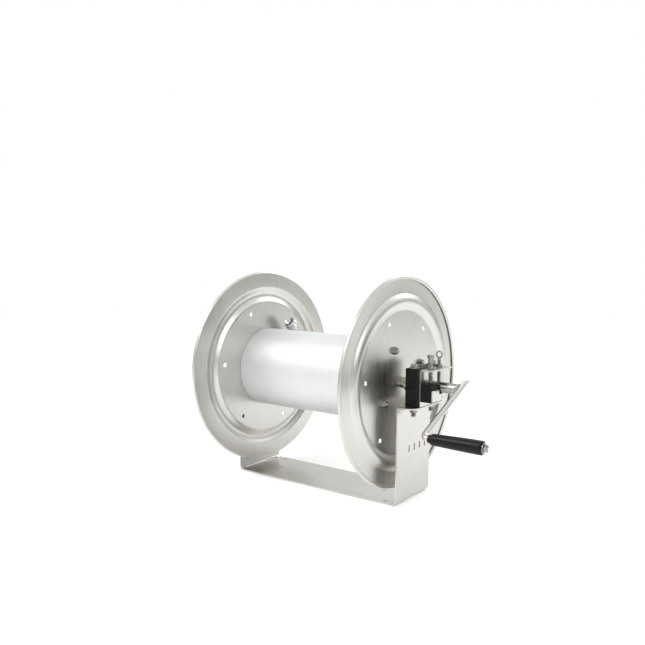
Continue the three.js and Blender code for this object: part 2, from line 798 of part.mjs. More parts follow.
// Threaded stub the supply hose screws onto, seated against a flat on the swivel body.
function swivelPort() {
  const { x, radius, boreRadius, reach } = PORT;
  const top = -SWIVEL.radius - CLEARANCE;
  const body = join([rodAlongZ(-reach, top, radius, 28), hexAlongZ(-reach + 14, top - 3, 30)]);
  const port = cut(body, [rodAlongZ(-reach - 5, 0, boreRadius, 20)]);
  port.translate(x, 0, 0);
  return part('swivel_port', onAxis(port), BRASS);
}

// ---- crank --------------------------------------------------------------------------

// Point in the plane of the crank at a distance from the axis toward the grip.
function crankPoint(distance) {
  return new THREE.Vector3(
    CRANK.planeX,
    distance * Math.cos(radians(CRANK.angle)),
    distance * Math.sin(radians(CRANK.angle)),
  );
}

// Centre line of the crank rod from its tail across the axis, then out along X for the grip.
function crankLine() {
  const corner = crankPoint(CRANK.radius);
  const spindleEnd = corner.clone().setX(GRIP.endX - CLEARANCE);
  return bentLine([crankPoint(-CRANK.tail), corner, spindleEnd], [CRANK.bendRadius], 6);
}

// Places a piece modelled about the X axis at the grip end of the crank.
function atGrip(geometry) {
  return onAxis(aroundAxle(geometry, CRANK.radius, CRANK.angle));
}

// Bent round rod with its tail cut level and a stud for the grip nut.
function crankRod() {
  const rod = roundAlong(crankLine(), CRANK.rodRadius, 0, 16);
  const tailCut = box(
    CRANK.planeX - 20, CRANK.planeX + 20, -10, CRANK.tail + 20, CRANK.tailTopZ, CRANK.tailTopZ + 40,
  );
  const stud = aroundAxle(
    rodAlongX(GRIP.endX - 5, GRIP_STUD.endX, GRIP_STUD.radius, 16), CRANK.radius, CRANK.angle,
  );
  const solid = toSolid(rod).subtract(toSolid(tailCut)).add(toSolid(stud));
  return part('crank_rod', onAxis(toGeometry(solid)), BRUSHED);
}

// Hand grip with a slim neck, a little fuller toward its outer end.
function grip() {
  const { neckX, startX, endX, neckRadius, innerRadius, outerRadius } = GRIP;
  const bore = CRANK.rodRadius + CLEARANCE;
  const length = endX - startX;
  const profile = [
    [neckX, bore], [neckX, neckRadius], [startX - 1, neckRadius], [startX, innerRadius - 1],
    [startX + 2, innerRadius], [startX + length * 0.4, innerRadius + 1.3],
    [startX + length * 0.75, outerRadius - 0.3], [endX - 3, outerRadius],
    [endX - 0.8, outerRadius - 1], [endX, outerRadius - 2.5], [endX, bore], [neckX, bore],
  ];
  return part('grip', atGrip(turned(profile, 32)), BLACK_PLASTIC);
}

function gripWasher() {
  const start = GRIP.endX + CLEARANCE;
  const washer = tubeAlongX(start, start + 1.6, 10, GRIP_STUD.radius + CLEARANCE, 24);
  return part('grip_washer', atGrip(washer), BOLT_STEEL);
}

function gripNut() {
  const start = GRIP.endX + 1.6 + 2 * CLEARANCE;
  const bore = rodAlongX(start - 5, start + 15, GRIP_STUD.radius + CLEARANCE, 16);
  return part('grip_nut', atGrip(cut(hexAlongX(start, start + 6.5, 13), [bore])), BOLT_STEEL);
}

// ---- assembly -----------------------------------------------------------------------

const reel = new THREE.Group();
reel.name = 'hose_reel';
reel.add(frameStrap(), ...bearingParts(), ...brakeParts());
reel.add(...discs(), barrel(), ...endPlates(), ...tieRods());
reel.add(...axles(), ...shaftCollars(), feedPipe(), outletElbow(), outletCoupling());
reel.add(swivelBody(), swivelSeal(), swivelPort());
reel.add(crankRod(), grip(), gripWasher(), gripNut());

export default reel;
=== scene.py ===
import json
from math import atan2, ceil, cos, pi, radians, sin, sqrt, tau

import bmesh
import bpy
from mathutils import Matrix, Vector


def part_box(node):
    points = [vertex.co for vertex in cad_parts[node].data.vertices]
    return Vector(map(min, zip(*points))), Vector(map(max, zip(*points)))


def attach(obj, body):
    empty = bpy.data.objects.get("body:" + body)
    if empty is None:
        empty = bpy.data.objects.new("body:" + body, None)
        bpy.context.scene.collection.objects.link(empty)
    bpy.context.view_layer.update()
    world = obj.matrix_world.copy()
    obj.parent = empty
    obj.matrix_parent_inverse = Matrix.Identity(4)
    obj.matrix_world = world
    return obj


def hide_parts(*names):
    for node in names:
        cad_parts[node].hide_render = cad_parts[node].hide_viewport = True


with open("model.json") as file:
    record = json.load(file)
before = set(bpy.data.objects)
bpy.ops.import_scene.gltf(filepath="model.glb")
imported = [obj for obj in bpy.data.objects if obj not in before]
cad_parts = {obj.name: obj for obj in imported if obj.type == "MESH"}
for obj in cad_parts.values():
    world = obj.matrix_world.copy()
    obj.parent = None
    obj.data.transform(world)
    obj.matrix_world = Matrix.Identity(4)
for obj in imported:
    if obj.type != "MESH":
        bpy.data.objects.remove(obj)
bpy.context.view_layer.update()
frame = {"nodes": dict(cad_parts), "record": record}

BODY_OF = {node: body for body, nodes in frame["record"]["behaviour"]["bodies"].items() for node in nodes}
SLOT_OF = {part["node"]: part["material_slot"] for part in frame["record"]["subparts"]}

# ---- places read from the frame ---------------------------------------------------------


def centre(node):
    low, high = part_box(node)
    return (low + high) / 2


AXIS = Vector((0, 0, centre("axle_inlet").z))
X_AXIS, Z_AXIS = Vector((1, 0, 0)), Vector((0, 0, 1))
MM = 0.001

# M8 and M10 fasteners: radius of the thread, clearance bore and flange, and width across flats
M8_RADIUS, M8_BORE, M8_FLATS, M8_FLANGE = 4 * MM, 4.15 * MM, 13 * MM, 8.5 * MM
M8_PITCH, M8_THREAD_DEPTH = 1.25 * MM, 0.6 * MM
M10_RADIUS, M10_BORE, M10_FLATS, M10_FLANGE = 5 * MM, 5.15 * MM, 16 * MM, 10 * MM
M10_PITCH = 1.5 * MM
AXLE_BORE = 11.3 * MM  # radius round the axle
WATER_BORE = 7 * MM  # radius of the waterway
SMOOTH_ANGLE = 32  # degrees between faces, above which an edge is sharp

# ---- node materials ---------------------------------------------------------------------


NOISE_LOW, NOISE_HIGH = 0.3, 0.7  # where nearly all of a noise texture's values lie


class Finish:
    """A Principled material whose grain, smudges and bumps are laid out in metres."""

    def __init__(self, name, metallic=1.0, **sockets):
        self.material = bpy.data.materials.new(name)
        self.material.use_nodes = True
        self.nodes = self.material.node_tree.nodes
        self.links = self.material.node_tree.links
        self.shader = self.nodes["Principled BSDF"]
        self.shader.inputs["Metallic"].default_value = metallic
        for socket, value in sockets.items():
            self.shader.inputs[socket.replace("_", " ")].default_value = value
        self.coordinates = self.nodes.new("ShaderNodeTexCoord").outputs["Object"]
        self.normal = None

    def placed(self, scale, turn=(0, 0, 0)):
        mapping = self.nodes.new("ShaderNodeMapping")
        mapping.inputs["Scale"].default_value = scale
        mapping.inputs["Rotation"].default_value = turn
        self.links.new(self.coordinates, mapping.inputs["Vector"])
        return mapping.outputs["Vector"]

    def noise(self, scale, detail=3.0, turn=(0, 0, 0), distortion=0.0):
        """Noise in features per metre along X, Y and Z."""
        texture = self.nodes.new("ShaderNodeTexNoise")
        texture.inputs["Scale"].default_value = 1.0
        texture.inputs["Detail"].default_value = detail
        texture.inputs["Distortion"].default_value = distortion
        self.links.new(self.placed(scale, turn), texture.inputs["Vector"])
        return texture.outputs["Fac"]

    def ranged(self, source, low, high):
        node = self.nodes.new("ShaderNodeMapRange")
        for socket, value in (("From Min", NOISE_LOW), ("From Max", NOISE_HIGH),
                              ("To Min", low), ("To Max", high)):
            node.inputs[socket].default_value = value
        self.links.new(source, node.inputs["Value"])
        return node.outputs["Result"]

    def mixed(self, source, dark, light):
        ramp = self.nodes.new("ShaderNodeValToRGB")
        stops = ((NOISE_LOW, dark), (NOISE_HIGH, light))
        for element, (position, colour) in zip(ramp.color_ramp.elements, stops):
            element.position, element.color = position, (*colour, 1)
        self.links.new(source, ramp.inputs["Fac"])
        return ramp.outputs["Color"]

    def math(self, operation, first, second):
        node = self.nodes.new("ShaderNodeMath")
        node.operation = operation
        for socket, value in zip(node.inputs, (first, second)):
            if isinstance(value, (int, float)):
                socket.default_value = value
            else:
                self.links.new(value, socket)
        return node.outputs["Value"]

    def colour(self, source):
        self.links.new(source, self.shader.inputs["Base Color"])

    def roughness(self, source):
        self.links.new(source, self.shader.inputs["Roughness"])

    def bump(self, height, distance, strength):
        """Adds one more layer of bump, its distance in metres."""
        node = self.nodes.new("ShaderNodeBump")
        node.inputs["Distance"].default_value = distance
        node.inputs["Strength"].default_value = strength
        self.links.new(height, node.inputs["Height"])
        if self.normal is not None:
            self.links.new(self.normal, node.inputs["Normal"])
        self.normal = node.outputs["Normal"]
        self.links.new(self.normal, self.shader.inputs["Normal"])


def brushed(name, dark, light, rough, grain, depth, metallic=1.0):
    """Brushed metal: fine grain lines, handling smudges and a few longer scratches."""
    finish = Finish(name, metallic=metallic)
    fine = finish.noise(grain, 4)
    scratches = finish.noise([value * 0.22 for value in grain], 2, distortion=0.3)
    smudge = finish.noise((9, 9, 9), 4, (0.3, 0.2, 0.1), 0.6)
    low, high = rough
    base = finish.ranged(smudge, low, high)
    finish.roughness(finish.math("ADD", base, finish.ranged(fine, -0.05, 0.05)))
    finish.colour(finish.mixed(finish.math("ADD", finish.math("MULTIPLY", smudge, 0.6),
                                           finish.math("MULTIPLY", fine, 0.4)), dark, light))
    finish.bump(fine, 0.00003, depth)
    finish.bump(scratches, 0.00005, depth * 0.5)
    return finish.material


def plated(name, dark, light, rough):
    """Plated or polished small hardware with a faint cast or rolled skin."""
    finish = Finish(name)
    skin = finish.noise((900, 900, 900), 3)
    stain = finish.noise((60, 60, 60), 3, (0.4, 0.1, 0.2), 0.5)
    finish.roughness(finish.ranged(stain, *rough))
    finish.colour(finish.mixed(stain, dark, light))
    finish.bump(skin, 0.00004, 0.25)
    return finish.material


def moulded(name, dark, light, rough, texture, depth, lines=None):
    """Plastic or rubber: a fine moulded skin, dull patches and machining lines if it has them."""
    finish = Finish(name, metallic=0.0, Specular_IOR_Level=0.22)
    skin = finish.noise((texture, texture, texture), 4)
    patches = finish.noise((35, 35, 35), 4, (0.2, 0.5, 0.1), 0.8)
    finish.roughness(finish.ranged(patches, *rough))
    finish.colour(finish.mixed(patches, dark, light))
    finish.bump(skin, 0.00008, depth)
    if lines:
        finish.bump(finish.noise(lines, 2), 0.00006, 0.35)
    return finish.material


SHEET_GRAIN = (12, 2600, 12)
ROUND_GRAIN = (2600, 14, 14)
MATERIALS = {
    "brushed_stainless": brushed("sheet_steel", (0.56, 0.55, 0.52), (0.64, 0.63, 0.60),
                                 (0.27, 0.35), SHEET_GRAIN, 0.35),
    "barrel_stainless": brushed("barrel_steel", (0.66, 0.67, 0.68), (0.76, 0.77, 0.78),
                                (0.48, 0.58), ROUND_GRAIN, 0.3, metallic=0.6),
    "shaft_steel": brushed("turned_steel", (0.36, 0.35, 0.33), (0.52, 0.51, 0.48),
                           (0.18, 0.28), ROUND_GRAIN, 0.3),
    "polished_fitting": plated("polished_steel", (0.55, 0.55, 0.55), (0.70, 0.70, 0.70), (0.10, 0.20)),
    "zinc_hardware": plated("plated_hardware", (0.22, 0.22, 0.21), (0.38, 0.38, 0.36), (0.16, 0.30)),
    "black_nylon": moulded("block_nylon", (0.0018, 0.0018, 0.0020), (0.005, 0.005, 0.0055),
                           (0.36, 0.50), 1400, 0.4, lines=(60, 60, 1500)),
    "grip_plastic": moulded("grip_plastic", (0.0018, 0.0018, 0.0020), (0.004, 0.004, 0.0045),
                            (0.28, 0.40), 1800, 0.35),
    "brass": plated("swivel_brass", (0.50, 0.34, 0.12), (0.68, 0.50, 0.22), (0.20, 0.34)),
    "seal_rubber": moulded("seal_rubber", (0.010, 0.010, 0.010), (0.022, 0.022, 0.022),
                           (0.60, 0.80), 2200, 0.5),
}

# ---- pieces -----------------------------------------------------------------------------


def to_object(name, bm, matrix=None, smooth_angle=SMOOTH_ANGLE):
    """Makes a scene object of the bmesh, moved by the matrix, with smooth shading up to the angle."""
    bmesh.ops.recalc_face_normals(bm, faces=bm.faces)
    if matrix is not None:
        bm.transform(matrix)
    mesh = bpy.data.meshes.new(name)
    bm.to_mesh(mesh)
    bm.free()
    mesh.shade_smooth()
    mesh.set_sharp_from_angle(angle=radians(smooth_angle))
    piece = bpy.data.objects.new(name, mesh)
    bpy.context.scene.collection.objects.link(piece)
    return piece


def dressed(piece, *nodes, body=None, slot=None):
    """Gives a piece the place in the mechanism and the finish of the first node it stands for."""
    slot = slot or SLOT_OF[nodes[0]]
    piece.data.materials.clear()
    piece.data.materials.append(MATERIALS[slot])
    if nodes:
        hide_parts(*nodes)
    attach(piece, body or BODY_OF[nodes[0]])
    return piece


def bevelled(piece, width, segments):
    modifier = piece.modifiers.new("eased_edges", "BEVEL")
    modifier.width = width
    modifier.segments = segments
    modifier.limit_method = "ANGLE"
    modifier.angle_limit = radians(30)
    modifier.harden_normals = True


def refined(node, width, segments=2, smooth_angle=SMOOTH_ANGLE):
    """The node's own shape with its flat faces made whole, so that its edges can be eased."""
    bm = bmesh.new()
    bm.from_mesh(frame["nodes"][node].data)
    bmesh.ops.remove_doubles(bm, verts=bm.verts, dist=1e-6)
    bmesh.ops.dissolve_limit(bm, angle_limit=radians(0.6), verts=bm.verts, edges=bm.edges)
    piece = to_object(node + "_finished", bm, smooth_angle=smooth_angle)
    if width:
        bevelled(piece, width, segments)
    return dressed(piece, node)


def absorb(bm, extra):
    """Moves all of the extra bmesh into the first one."""
    scratch = bpy.data.meshes.new("scratch")
    extra.to_mesh(scratch)
    bm.from_mesh(scratch)
    extra.free()
    bpy.data.meshes.remove(scratch)


def evaluated_mesh(piece):
    bpy.context.view_layer.update()
    return bpy.data.meshes.new_from_object(piece.evaluated_get(bpy.context.evaluated_depsgraph_get()))


def rings(profile, sides, loop):
    """Skins rings about X, each (distance along, radius), where a radius may depend on the angle."""
    bm = bmesh.new()
    skin = []
    for along, radius in profile:
        ring = []
        for i in range(sides):
            angle = tau * i / sides
            size = radius(angle) if callable(radius) else radius
            ring.append(bm.verts.new((along, size * cos(angle), size * sin(angle))))
        skin.append(ring)
    pairs = list(zip(skin, skin[1:])) + ([(skin[-1], skin[0])] if loop else [])
    for first, second in pairs:
        for i in range(sides):
            k = (i + 1) % sides
            bm.faces.new((first[i], first[k], second[k], second[i]))
    if not loop:
        bm.faces.new(skin[0])
        bm.faces.new(skin[-1])
    return bm


def facing(origin, direction):
    """Turns X to the direction and moves the origin."""
    turn = X_AXIS.rotation_difference(Vector(direction)).to_matrix().to_4x4()
    return Matrix.Translation(origin) @ turn


def hexagon(across_flats):
    def radius(angle):
        return across_flats / 2 / cos((angle + pi / 6) % (pi / 3) - pi / 6)
    return radius


def chamfered_hexagon(across_flats, limit):
    flat = hexagon(across_flats)
    return lambda angle: min(flat(angle), limit)


def hex_rings(start, end, across_flats, chamfer_start, chamfer_end):
    """Rings of a hexagon whose corners are turned down at one end or both."""
    corner = across_flats / sqrt(3)
    inner = across_flats * 0.475
    drop = (corner - inner) * 0.5
    profile = []
    if chamfer_start:
        profile += [(start, inner), (start + drop * 0.45, chamfered_hexagon(across_flats, corner * 0.95)),
                    (start + drop, chamfered_hexagon(across_flats, corner))]
    else:
        profile += [(start, hexagon(across_flats))]
    if chamfer_end:
        profile += [(end - drop, chamfered_hexagon(across_flats, corner)),
                    (end - drop * 0.45, chamfered_hexagon(across_flats, corner * 0.95)), (end, inner)]
    else:
        profile += [(end, hexagon(across_flats))]
    return profile


def thread_rings(start, end, radius, pitch, depth):
    """Rings of a right-hand screw thread, tapered in at both ends."""
    count = max(2, ceil((end - start) / (pitch / 6)))
    profile = []
    for i in range(count + 1):
        along = start + (end - start) * i / count
        lead = min(1.0, (along - start) / pitch, (end - along) / pitch)
        profile.append((along, thread_radius(along, radius, pitch, depth, lead)))
    return profile


def thread_radius(along, radius, pitch, depth, lead):
    def at(angle):
        turn = (along / pitch - angle / tau) % 1.0
        ridge = 1 - abs(2 * turn - 1)
        return radius - depth * (1 - ridge * max(lead, 0.0))
    return at


SIDES = 48


def headed_screw(name, node, head, thread):
    """Upright bolt that ends in a thread, with a flange and a hex head above."""
    low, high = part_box(node)
    middle = centre(node)
    length = high.z - low.z
    flange_radius, flange, across_flats, head_height = head
    radius, thread_length, pitch = thread
    seat = length - head_height
    profile = [(0, radius * 0.8), (0.4 * MM, radius * 0.86)]
    profile += thread_rings(0.6 * MM, thread_length, radius, pitch, pitch * 0.5)
    profile += [(thread_length + 0.5 * MM, radius), (seat, radius), (seat, flange_radius - 0.3 * MM),
                (seat + 0.3 * MM, flange_radius), (seat + flange * 0.8, flange_radius),
                (seat + flange * 1.3, across_flats * 0.56)]
    profile += hex_rings(seat + flange * 1.35, length, across_flats, False, True)
    profile += [(length - 0.3 * MM, across_flats * 0.36), (length - 0.35 * MM, across_flats * 0.05)]
    bm = rings(profile, SIDES, False)
    return dressed(to_object(name, bm, facing((middle.x, middle.y, low.z), Z_AXIS)), node)


def nut(name, node, direction, bore, across_flats, flange=None):
    """Hex nut with turned corners; with a flange, that side faces against the direction."""
    low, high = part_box(node)
    middle = centre(node)
    axis = Vector(direction)
    length = abs((high - low).dot(axis))
    profile = [(0.5 * MM, bore)]
    if flange:
        profile += [(0, bore + 0.5 * MM), (0, flange - 0.3 * MM), (0.3 * MM, flange), (1.4 * MM, flange),
                    (2.1 * MM, across_flats * 0.57)]
        profile += hex_rings(2.2 * MM, length, across_flats, False, True)
    else:
        profile += [(0, bore + 0.5 * MM)] + hex_rings(0, length, across_flats, True, True)
    profile += [(length, bore + 0.5 * MM), (length - 0.5 * MM, bore)]
    count = 6
    profile += [(length - 0.5 * MM - (length - MM) * i / count, bore + (0.12 * MM if i % 2 else 0))
                for i in range(1, count)]
    start = middle - axis * length / 2
    return dressed(to_object(name, rings(profile, SIDES, True), facing(start, axis)), node)


def lathe_piece(name, nodes, profile, sides, origin, direction=X_AXIS, loop=True, **look):
    return dressed(to_object(name, rings(profile, sides, loop), facing(origin, direction)), *nodes, **look)


def cut_by(piece, cutters):
    """Cuts the cutters out of the piece and applies the result to its mesh."""
    joined = bmesh.new()
    for cutter in cutters:
        absorb(joined, cutter)
    tool = to_object("cutter", joined)
    modifier = piece.modifiers.new("cut", "BOOLEAN")
    modifier.operation = "DIFFERENCE"
    modifier.solver = "EXACT"
    modifier.object = tool
    result = evaluated_mesh(piece)
    piece.modifiers.clear()
    old = piece.data
    piece.data = result
    bpy.data.meshes.remove(old)
    bpy.data.objects.remove(tool)
    result.shade_smooth()
    result.set_sharp_from_angle(angle=radians(SMOOTH_ANGLE))


# ---- drum -------------------------------------------------------------------------------

SHEET = 2 * MM
BEAD_START, BEAD_WIDTH, BEAD_LIFT = 157 * MM, 34 * MM, 7 * MM
DISC_HOLE = 5 * MM
DISC_HOLE_CIRCLE = 139 * MM
DISC_HOLE_ANGLES = [53 + 60 * i for i in range(6)]
TIE_CIRCLE = (centre("tie_rod_1") - AXIS).yz.length
TIE_RADIUS = 4.3 * MM
TIE_ANGLES = [atan2(*reversed((centre(f"tie_rod_{i}") - AXIS).yz)) for i in (1, 2, 3, 4)]


def disc_profile():
    """Closed outline of the sheet from the bore to the rolled rim, as (distance out, radius)."""
    rim = (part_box("disc_crank")[1] - AXIS).z
    curl = 3.75 * MM
    middle = SHEET / 2
    points = [Vector((middle, 11.5 * MM)), Vector((middle, BEAD_START - 2.5 * MM))]
    steps = 28
    for i in range(steps + 1):
        t = i / steps
        points.append(Vector((middle + BEAD_LIFT * sin(pi * t) ** 1.15, BEAD_START + BEAD_WIDTH * t)))
    points.append(Vector((middle, BEAD_START + BEAD_WIDTH + 2.5 * MM)))
    for i in range(19):
        angle = radians(i * 15)
        points.append(Vector((curl - (curl - middle) * cos(angle),
                              rim - curl + (curl - middle) * sin(angle))))
    outer, inner = [], []
    for i, point in enumerate(points):
        along = (points[min(i + 1, len(points) - 1)] - points[max(i - 1, 0)]).normalized()
        side = Vector((along.y, -along.x)) * SHEET / 2
        outer.append(point + side)
        inner.append(point - side)
    return [tuple(point) for point in outer + inner[::-1]]


def rod_cutter(radius, start, end, sides, place):
    """Solid rod along X, then moved to its place, to be cut out of a piece."""
    bm = rings([(start, radius), (end, radius)], sides, False)
    bmesh.ops.recalc_face_normals(bm, faces=bm.faces)
    bm.transform(place)
    return bm


def hole_cutter(radius, circle, angle):
    place = Matrix.Rotation(angle, 4, "X") @ Matrix.Translation((0, circle, 0))
    return rod_cutter(radius, -10 * MM, 10 * MM, 32, place)


def disc(node, side):
    """Pressed disc with its ring of holes and its tie-rod holes; side is the way it faces along X."""
    low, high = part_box(node)
    face = low.x if side > 0 else high.x
    origin = Vector((face, 0, AXIS.z))
    bm = rings([(side * out, radius) for out, radius in disc_profile()], 192, True)
    piece = to_object(node + "_pressed", bm)
    cutters = [hole_cutter(DISC_HOLE, DISC_HOLE_CIRCLE, radians(a)) for a in DISC_HOLE_ANGLES]
    cutters += [hole_cutter(TIE_RADIUS, TIE_CIRCLE, a) for a in TIE_ANGLES]
    cut_by(piece, cutters)
    piece.data.transform(Matrix.Translation(origin))
    return dressed(piece, node)


disc("disc_crank", 1)
disc("disc_inlet", -1)

barrel_low, barrel_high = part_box("barrel")
BARREL = (barrel_high.z - barrel_low.z) / 2
OUTLET_ANGLE = radians(50)
OUTLET_X = centre("outlet_elbow").x


def barrel():
    half = barrel_high.x
    wall = 2 * MM
    profile = [(-half, BARREL - wall), (-half, BARREL - 0.4 * MM), (-half + 0.4 * MM, BARREL)]
    profile += [(-half + 2 * half * i / 8, BARREL) for i in range(1, 8)]
    profile += [(half - 0.4 * MM, BARREL), (half, BARREL - 0.4 * MM), (half, BARREL - wall)]
    piece = to_object("barrel_rolled", rings(profile, 160, True))
    outward = (0, cos(OUTLET_ANGLE), sin(OUTLET_ANGLE))
    port = rod_cutter(11.5 * MM, 60 * MM, 110 * MM, 40, facing((OUTLET_X, 0, 0), outward))
    cut_by(piece, [port])
    piece.data.transform(Matrix.Translation(AXIS))
    return dressed(piece, "barrel")


def barrel_seam():
    """Low weld bead along the barrel, a little in front of its top."""
    half = barrel_high.x - 1 * MM
    bm = bmesh.new()
    rows = 240
    previous = None
    angle = radians(108)
    for i in range(rows + 1):
        along = -half + 2 * half * i / rows
        width = (1.0 + 0.12 * sin(i * 1.9)) * MM
        height = (0.22 + 0.05 * sin(i * 2.7)) * MM
        row = []
        for k in range(-3, 4):
            across = width * k / 3
            lift = BARREL - 0.1 * MM + (height + 0.1 * MM) * (1 - (k / 3) ** 2)
            turn = angle + across / BARREL
            row.append(bm.verts.new((along, lift * cos(turn), lift * sin(turn))))
        low = [bm.verts.new((along, (BARREL - 0.6 * MM) * cos(angle + s * width / BARREL),
                             (BARREL - 0.6 * MM) * sin(angle + s * width / BARREL))) for s in (1, -1)]
        row += low
        if previous:
            for k in range(len(row)):
                n = (k + 1) % len(row)
                bm.faces.new((previous[k], previous[n], row[n], row[k]))
        else:
            bm.faces.new(row)
        previous = row
    bm.faces.new(previous)
    piece = to_object("barrel_seam_weld", bm, Matrix.Translation(AXIS), 50)
    return dressed(piece, body="drum", slot="barrel_stainless")


barrel()
barrel_seam()

for index in (1, 2, 3, 4):
    node = f"tie_rod_{index}"
    low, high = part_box(node)
    length = high.x - low.x
    threads = 14 * MM
    profile = [(0, M8_RADIUS * 0.8), (0.3 * MM, M8_RADIUS * 0.88)]
    profile += thread_rings(0.4 * MM, threads, M8_RADIUS, M8_PITCH, M8_THREAD_DEPTH)
    profile += [(threads + 0.4 * MM, M8_RADIUS), (length - threads - 0.4 * MM, M8_RADIUS)]
    profile += thread_rings(length - threads, length - 0.4 * MM, M8_RADIUS, M8_PITCH, M8_THREAD_DEPTH)
    profile += [(length - 0.3 * MM, M8_RADIUS * 0.88), (length, M8_RADIUS * 0.8)]
    place = centre(node)
    lathe_piece(node + "_threaded", [node], profile, 24, (low.x, place.y, place.z), loop=False)
    for end, direction in (("crank", 1), ("inlet", -1)):
        nut(f"tie_nut_{end}_{index}_flanged", f"tie_nut_{end}_{index}", (direction, 0, 0),
            M8_BORE, M8_FLATS, M8_FLANGE)


def collar(node):
    """Shaft collar with a socket set screw standing out of its top."""
    low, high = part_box(node)
    length = high.x - low.x
    bore, outer = AXLE_BORE, 17 * MM
    profile = [(0, bore), (0, outer - 0.8 * MM), (0.8 * MM, outer), (length - 0.8 * MM, outer),
               (length, outer - 0.8 * MM), (length, bore)]
    ring = rings(profile, 72, True)
    screw_radius = 3 * MM
    top = high.z - AXIS.z
    screw = rings([(outer - 1.5 * MM, screw_radius), (top - 0.4 * MM, screw_radius),
                   (top, screw_radius - 0.4 * MM), (top, 1.7 * MM),
                   (top - 1.4 * MM, 1.65 * MM)], 36, False)
    screw.transform(facing((length / 2, 0, 0), Z_AXIS))
    absorb(ring, screw)
    return dressed(to_object(node + "_turned", ring, Matrix.Translation((low.x, 0, AXIS.z))), node)


collar("shaft_collar_crank")
collar("shaft_collar_inlet")
refined("axle_crank", 0)
refined("axle_inlet", 0.4 * MM)
refined("end_plate_crank", 0.4 * MM)
refined("end_plate_inlet", 0.4 * MM)
refined("feed_pipe", 0, smooth_angle=40)
refined("outlet_elbow", 0.5 * MM, smooth_angle=40)


def coupling():
    """Knurled hose coupling with a threaded mouth."""
    node = "outlet_coupling"
    mount = next(m for m in frame["record"]["mounts"] if m["name"] == "hose_outlet_face")
    outward = Vector(mount["axis"])
    middle = centre(node)
    length, outer, bore, water = 19 * MM, 14.5 * MM, 11.5 * MM, WATER_BORE
    knurl = [(3.5 * MM + i * 0.55 * MM, outer - (0.35 * MM if i % 2 else 0)) for i in range(18)]
    profile = [(0, water), (0, outer - 2 * MM), (1.6 * MM, outer - 0.2 * MM), (2.8 * MM, outer)]
    profile += knurl + [(14.4 * MM, outer - 0.6 * MM), (18.2 * MM, outer - 0.4 * MM),
                        (length, outer - 1.2 * MM), (length, bore + 0.6 * MM)]
    profile += [(length - 0.8 * MM - 0.7 * MM * i, bore + (0.5 * MM if i % 2 else 0)) for i in range(20)]
    profile += [(4 * MM, bore), (4 * MM, water)]
    start = middle - outward * length / 2
    return lathe_piece("outlet_coupling_knurled", [node], profile, 96, start, outward)


coupling()

# ---- crank ------------------------------------------------------------------------------

refined("crank_rod", 0.3 * MM, smooth_angle=40)


def crank_weld():
    """Lumpy fillet where the crank rod is welded across the end of the axle."""
    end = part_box("axle_crank")[1].x
    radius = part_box("axle_crank")[1].z - AXIS.z

    def lumps(size, phase):
        return lambda angle: radius + size * (1 + 0.16 * sin(19 * angle + phase) + 0.1 * sin(7 * angle))

    profile = [(-5.5 * MM, radius - 0.4 * MM), (-4.6 * MM, lumps(0.5 * MM, 0)),
               (-3.2 * MM, lumps(1.1 * MM, 0.6)), (-1.6 * MM, lumps(1.2 * MM, 1.2)),
               (-0.4 * MM, lumps(0.6 * MM, 1.8)), (0, radius - 0.8 * MM)]
    return lathe_piece("crank_weld", [], profile, 120, (end, 0, AXIS.z), loop=True,
                       body="drum", slot="shaft_steel")


crank_weld()

grip_low, grip_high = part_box("grip")
GRIP_AXIS = centre("grip")
GRIP_BORE = 6.65 * MM


def grip():
    """Moulded grip with a narrow neck at the rod and a slow swell towards its end."""
    start, length = grip_low.x, grip_high.x - grip_low.x
    full = (grip_high.z - grip_low.z) / 2
    neck = 7 * MM
    profile = [(0, GRIP_BORE), (0, 7.3 * MM), (0.7 * MM, 8 * MM), (neck - 1.4 * MM, 8 * MM),
               (neck - 0.6 * MM, 8.6 * MM), (neck, 10 * MM), (neck + 1.2 * MM, 10.9 * MM)]
    body = length - neck
    for i in range(1, 25):
        t = i / 25
        swell = 11 * MM + (full - 11 * MM) * (1 - (1 - t) ** 1.6)
        profile.append((neck + 1.2 * MM + t * (body - 5 * MM), swell))
    profile += [(length - 3 * MM, full), (length - 1.6 * MM, full - 0.35 * MM),
                (length - 0.6 * MM, full - 1.1 * MM), (length, full - 2.5 * MM),
                (length, GRIP_BORE + 1 * MM), (length - 1 * MM, GRIP_BORE)]
    piece = to_object("grip_moulded", rings(profile, 96, True),
                      facing((start, GRIP_AXIS.y, GRIP_AXIS.z), X_AXIS))
    return dressed(piece, "grip")


grip()
refined("grip_washer", 0.3 * MM)
nut("grip_nut_finished", "grip_nut", X_AXIS, M8_BORE, M8_FLATS)

# ---- frame and bearings -----------------------------------------------------------------

refined("frame_strap", 0.45 * MM)
for end in ("crank", "inlet"):
    for half in ("lower", "upper"):
        refined(f"bearing_{half}_{end}", 1.1 * MM, 3)
    for place in ("front", "back"):
        headed_screw(f"clamp_bolt_{end}_{place}_flanged", f"clamp_bolt_{end}_{place}",
                     (10.5 * MM, 1.6 * MM, M10_FLATS, 8 * MM), (M10_RADIUS, 26 * MM, M10_PITCH))
        nut(f"clamp_nut_{end}_{place}_flanged", f"clamp_nut_{end}_{place}", -Z_AXIS,
            M10_BORE, M10_FLATS, M10_FLANGE)

# ---- brake ------------------------------------------------------------------------------

refined("brake_bracket", 0.4 * MM)
refined("brake_saddle", 0.9 * MM, 3)
refined("brake_keeper", 0)
for place in ("front", "back"):
    nut(f"brake_nut_{place}_finished", f"brake_nut_{place}", Z_AXIS, M8_BORE, M8_FLATS)


def blob(bm, size, offset):
    made = bmesh.ops.create_icosphere(bm, subdivisions=3, radius=1.0)
    matrix = Matrix.Translation(offset) @ Matrix.Diagonal((*size, 1))
    bmesh.ops.transform(bm, matrix=matrix, verts=made["verts"])


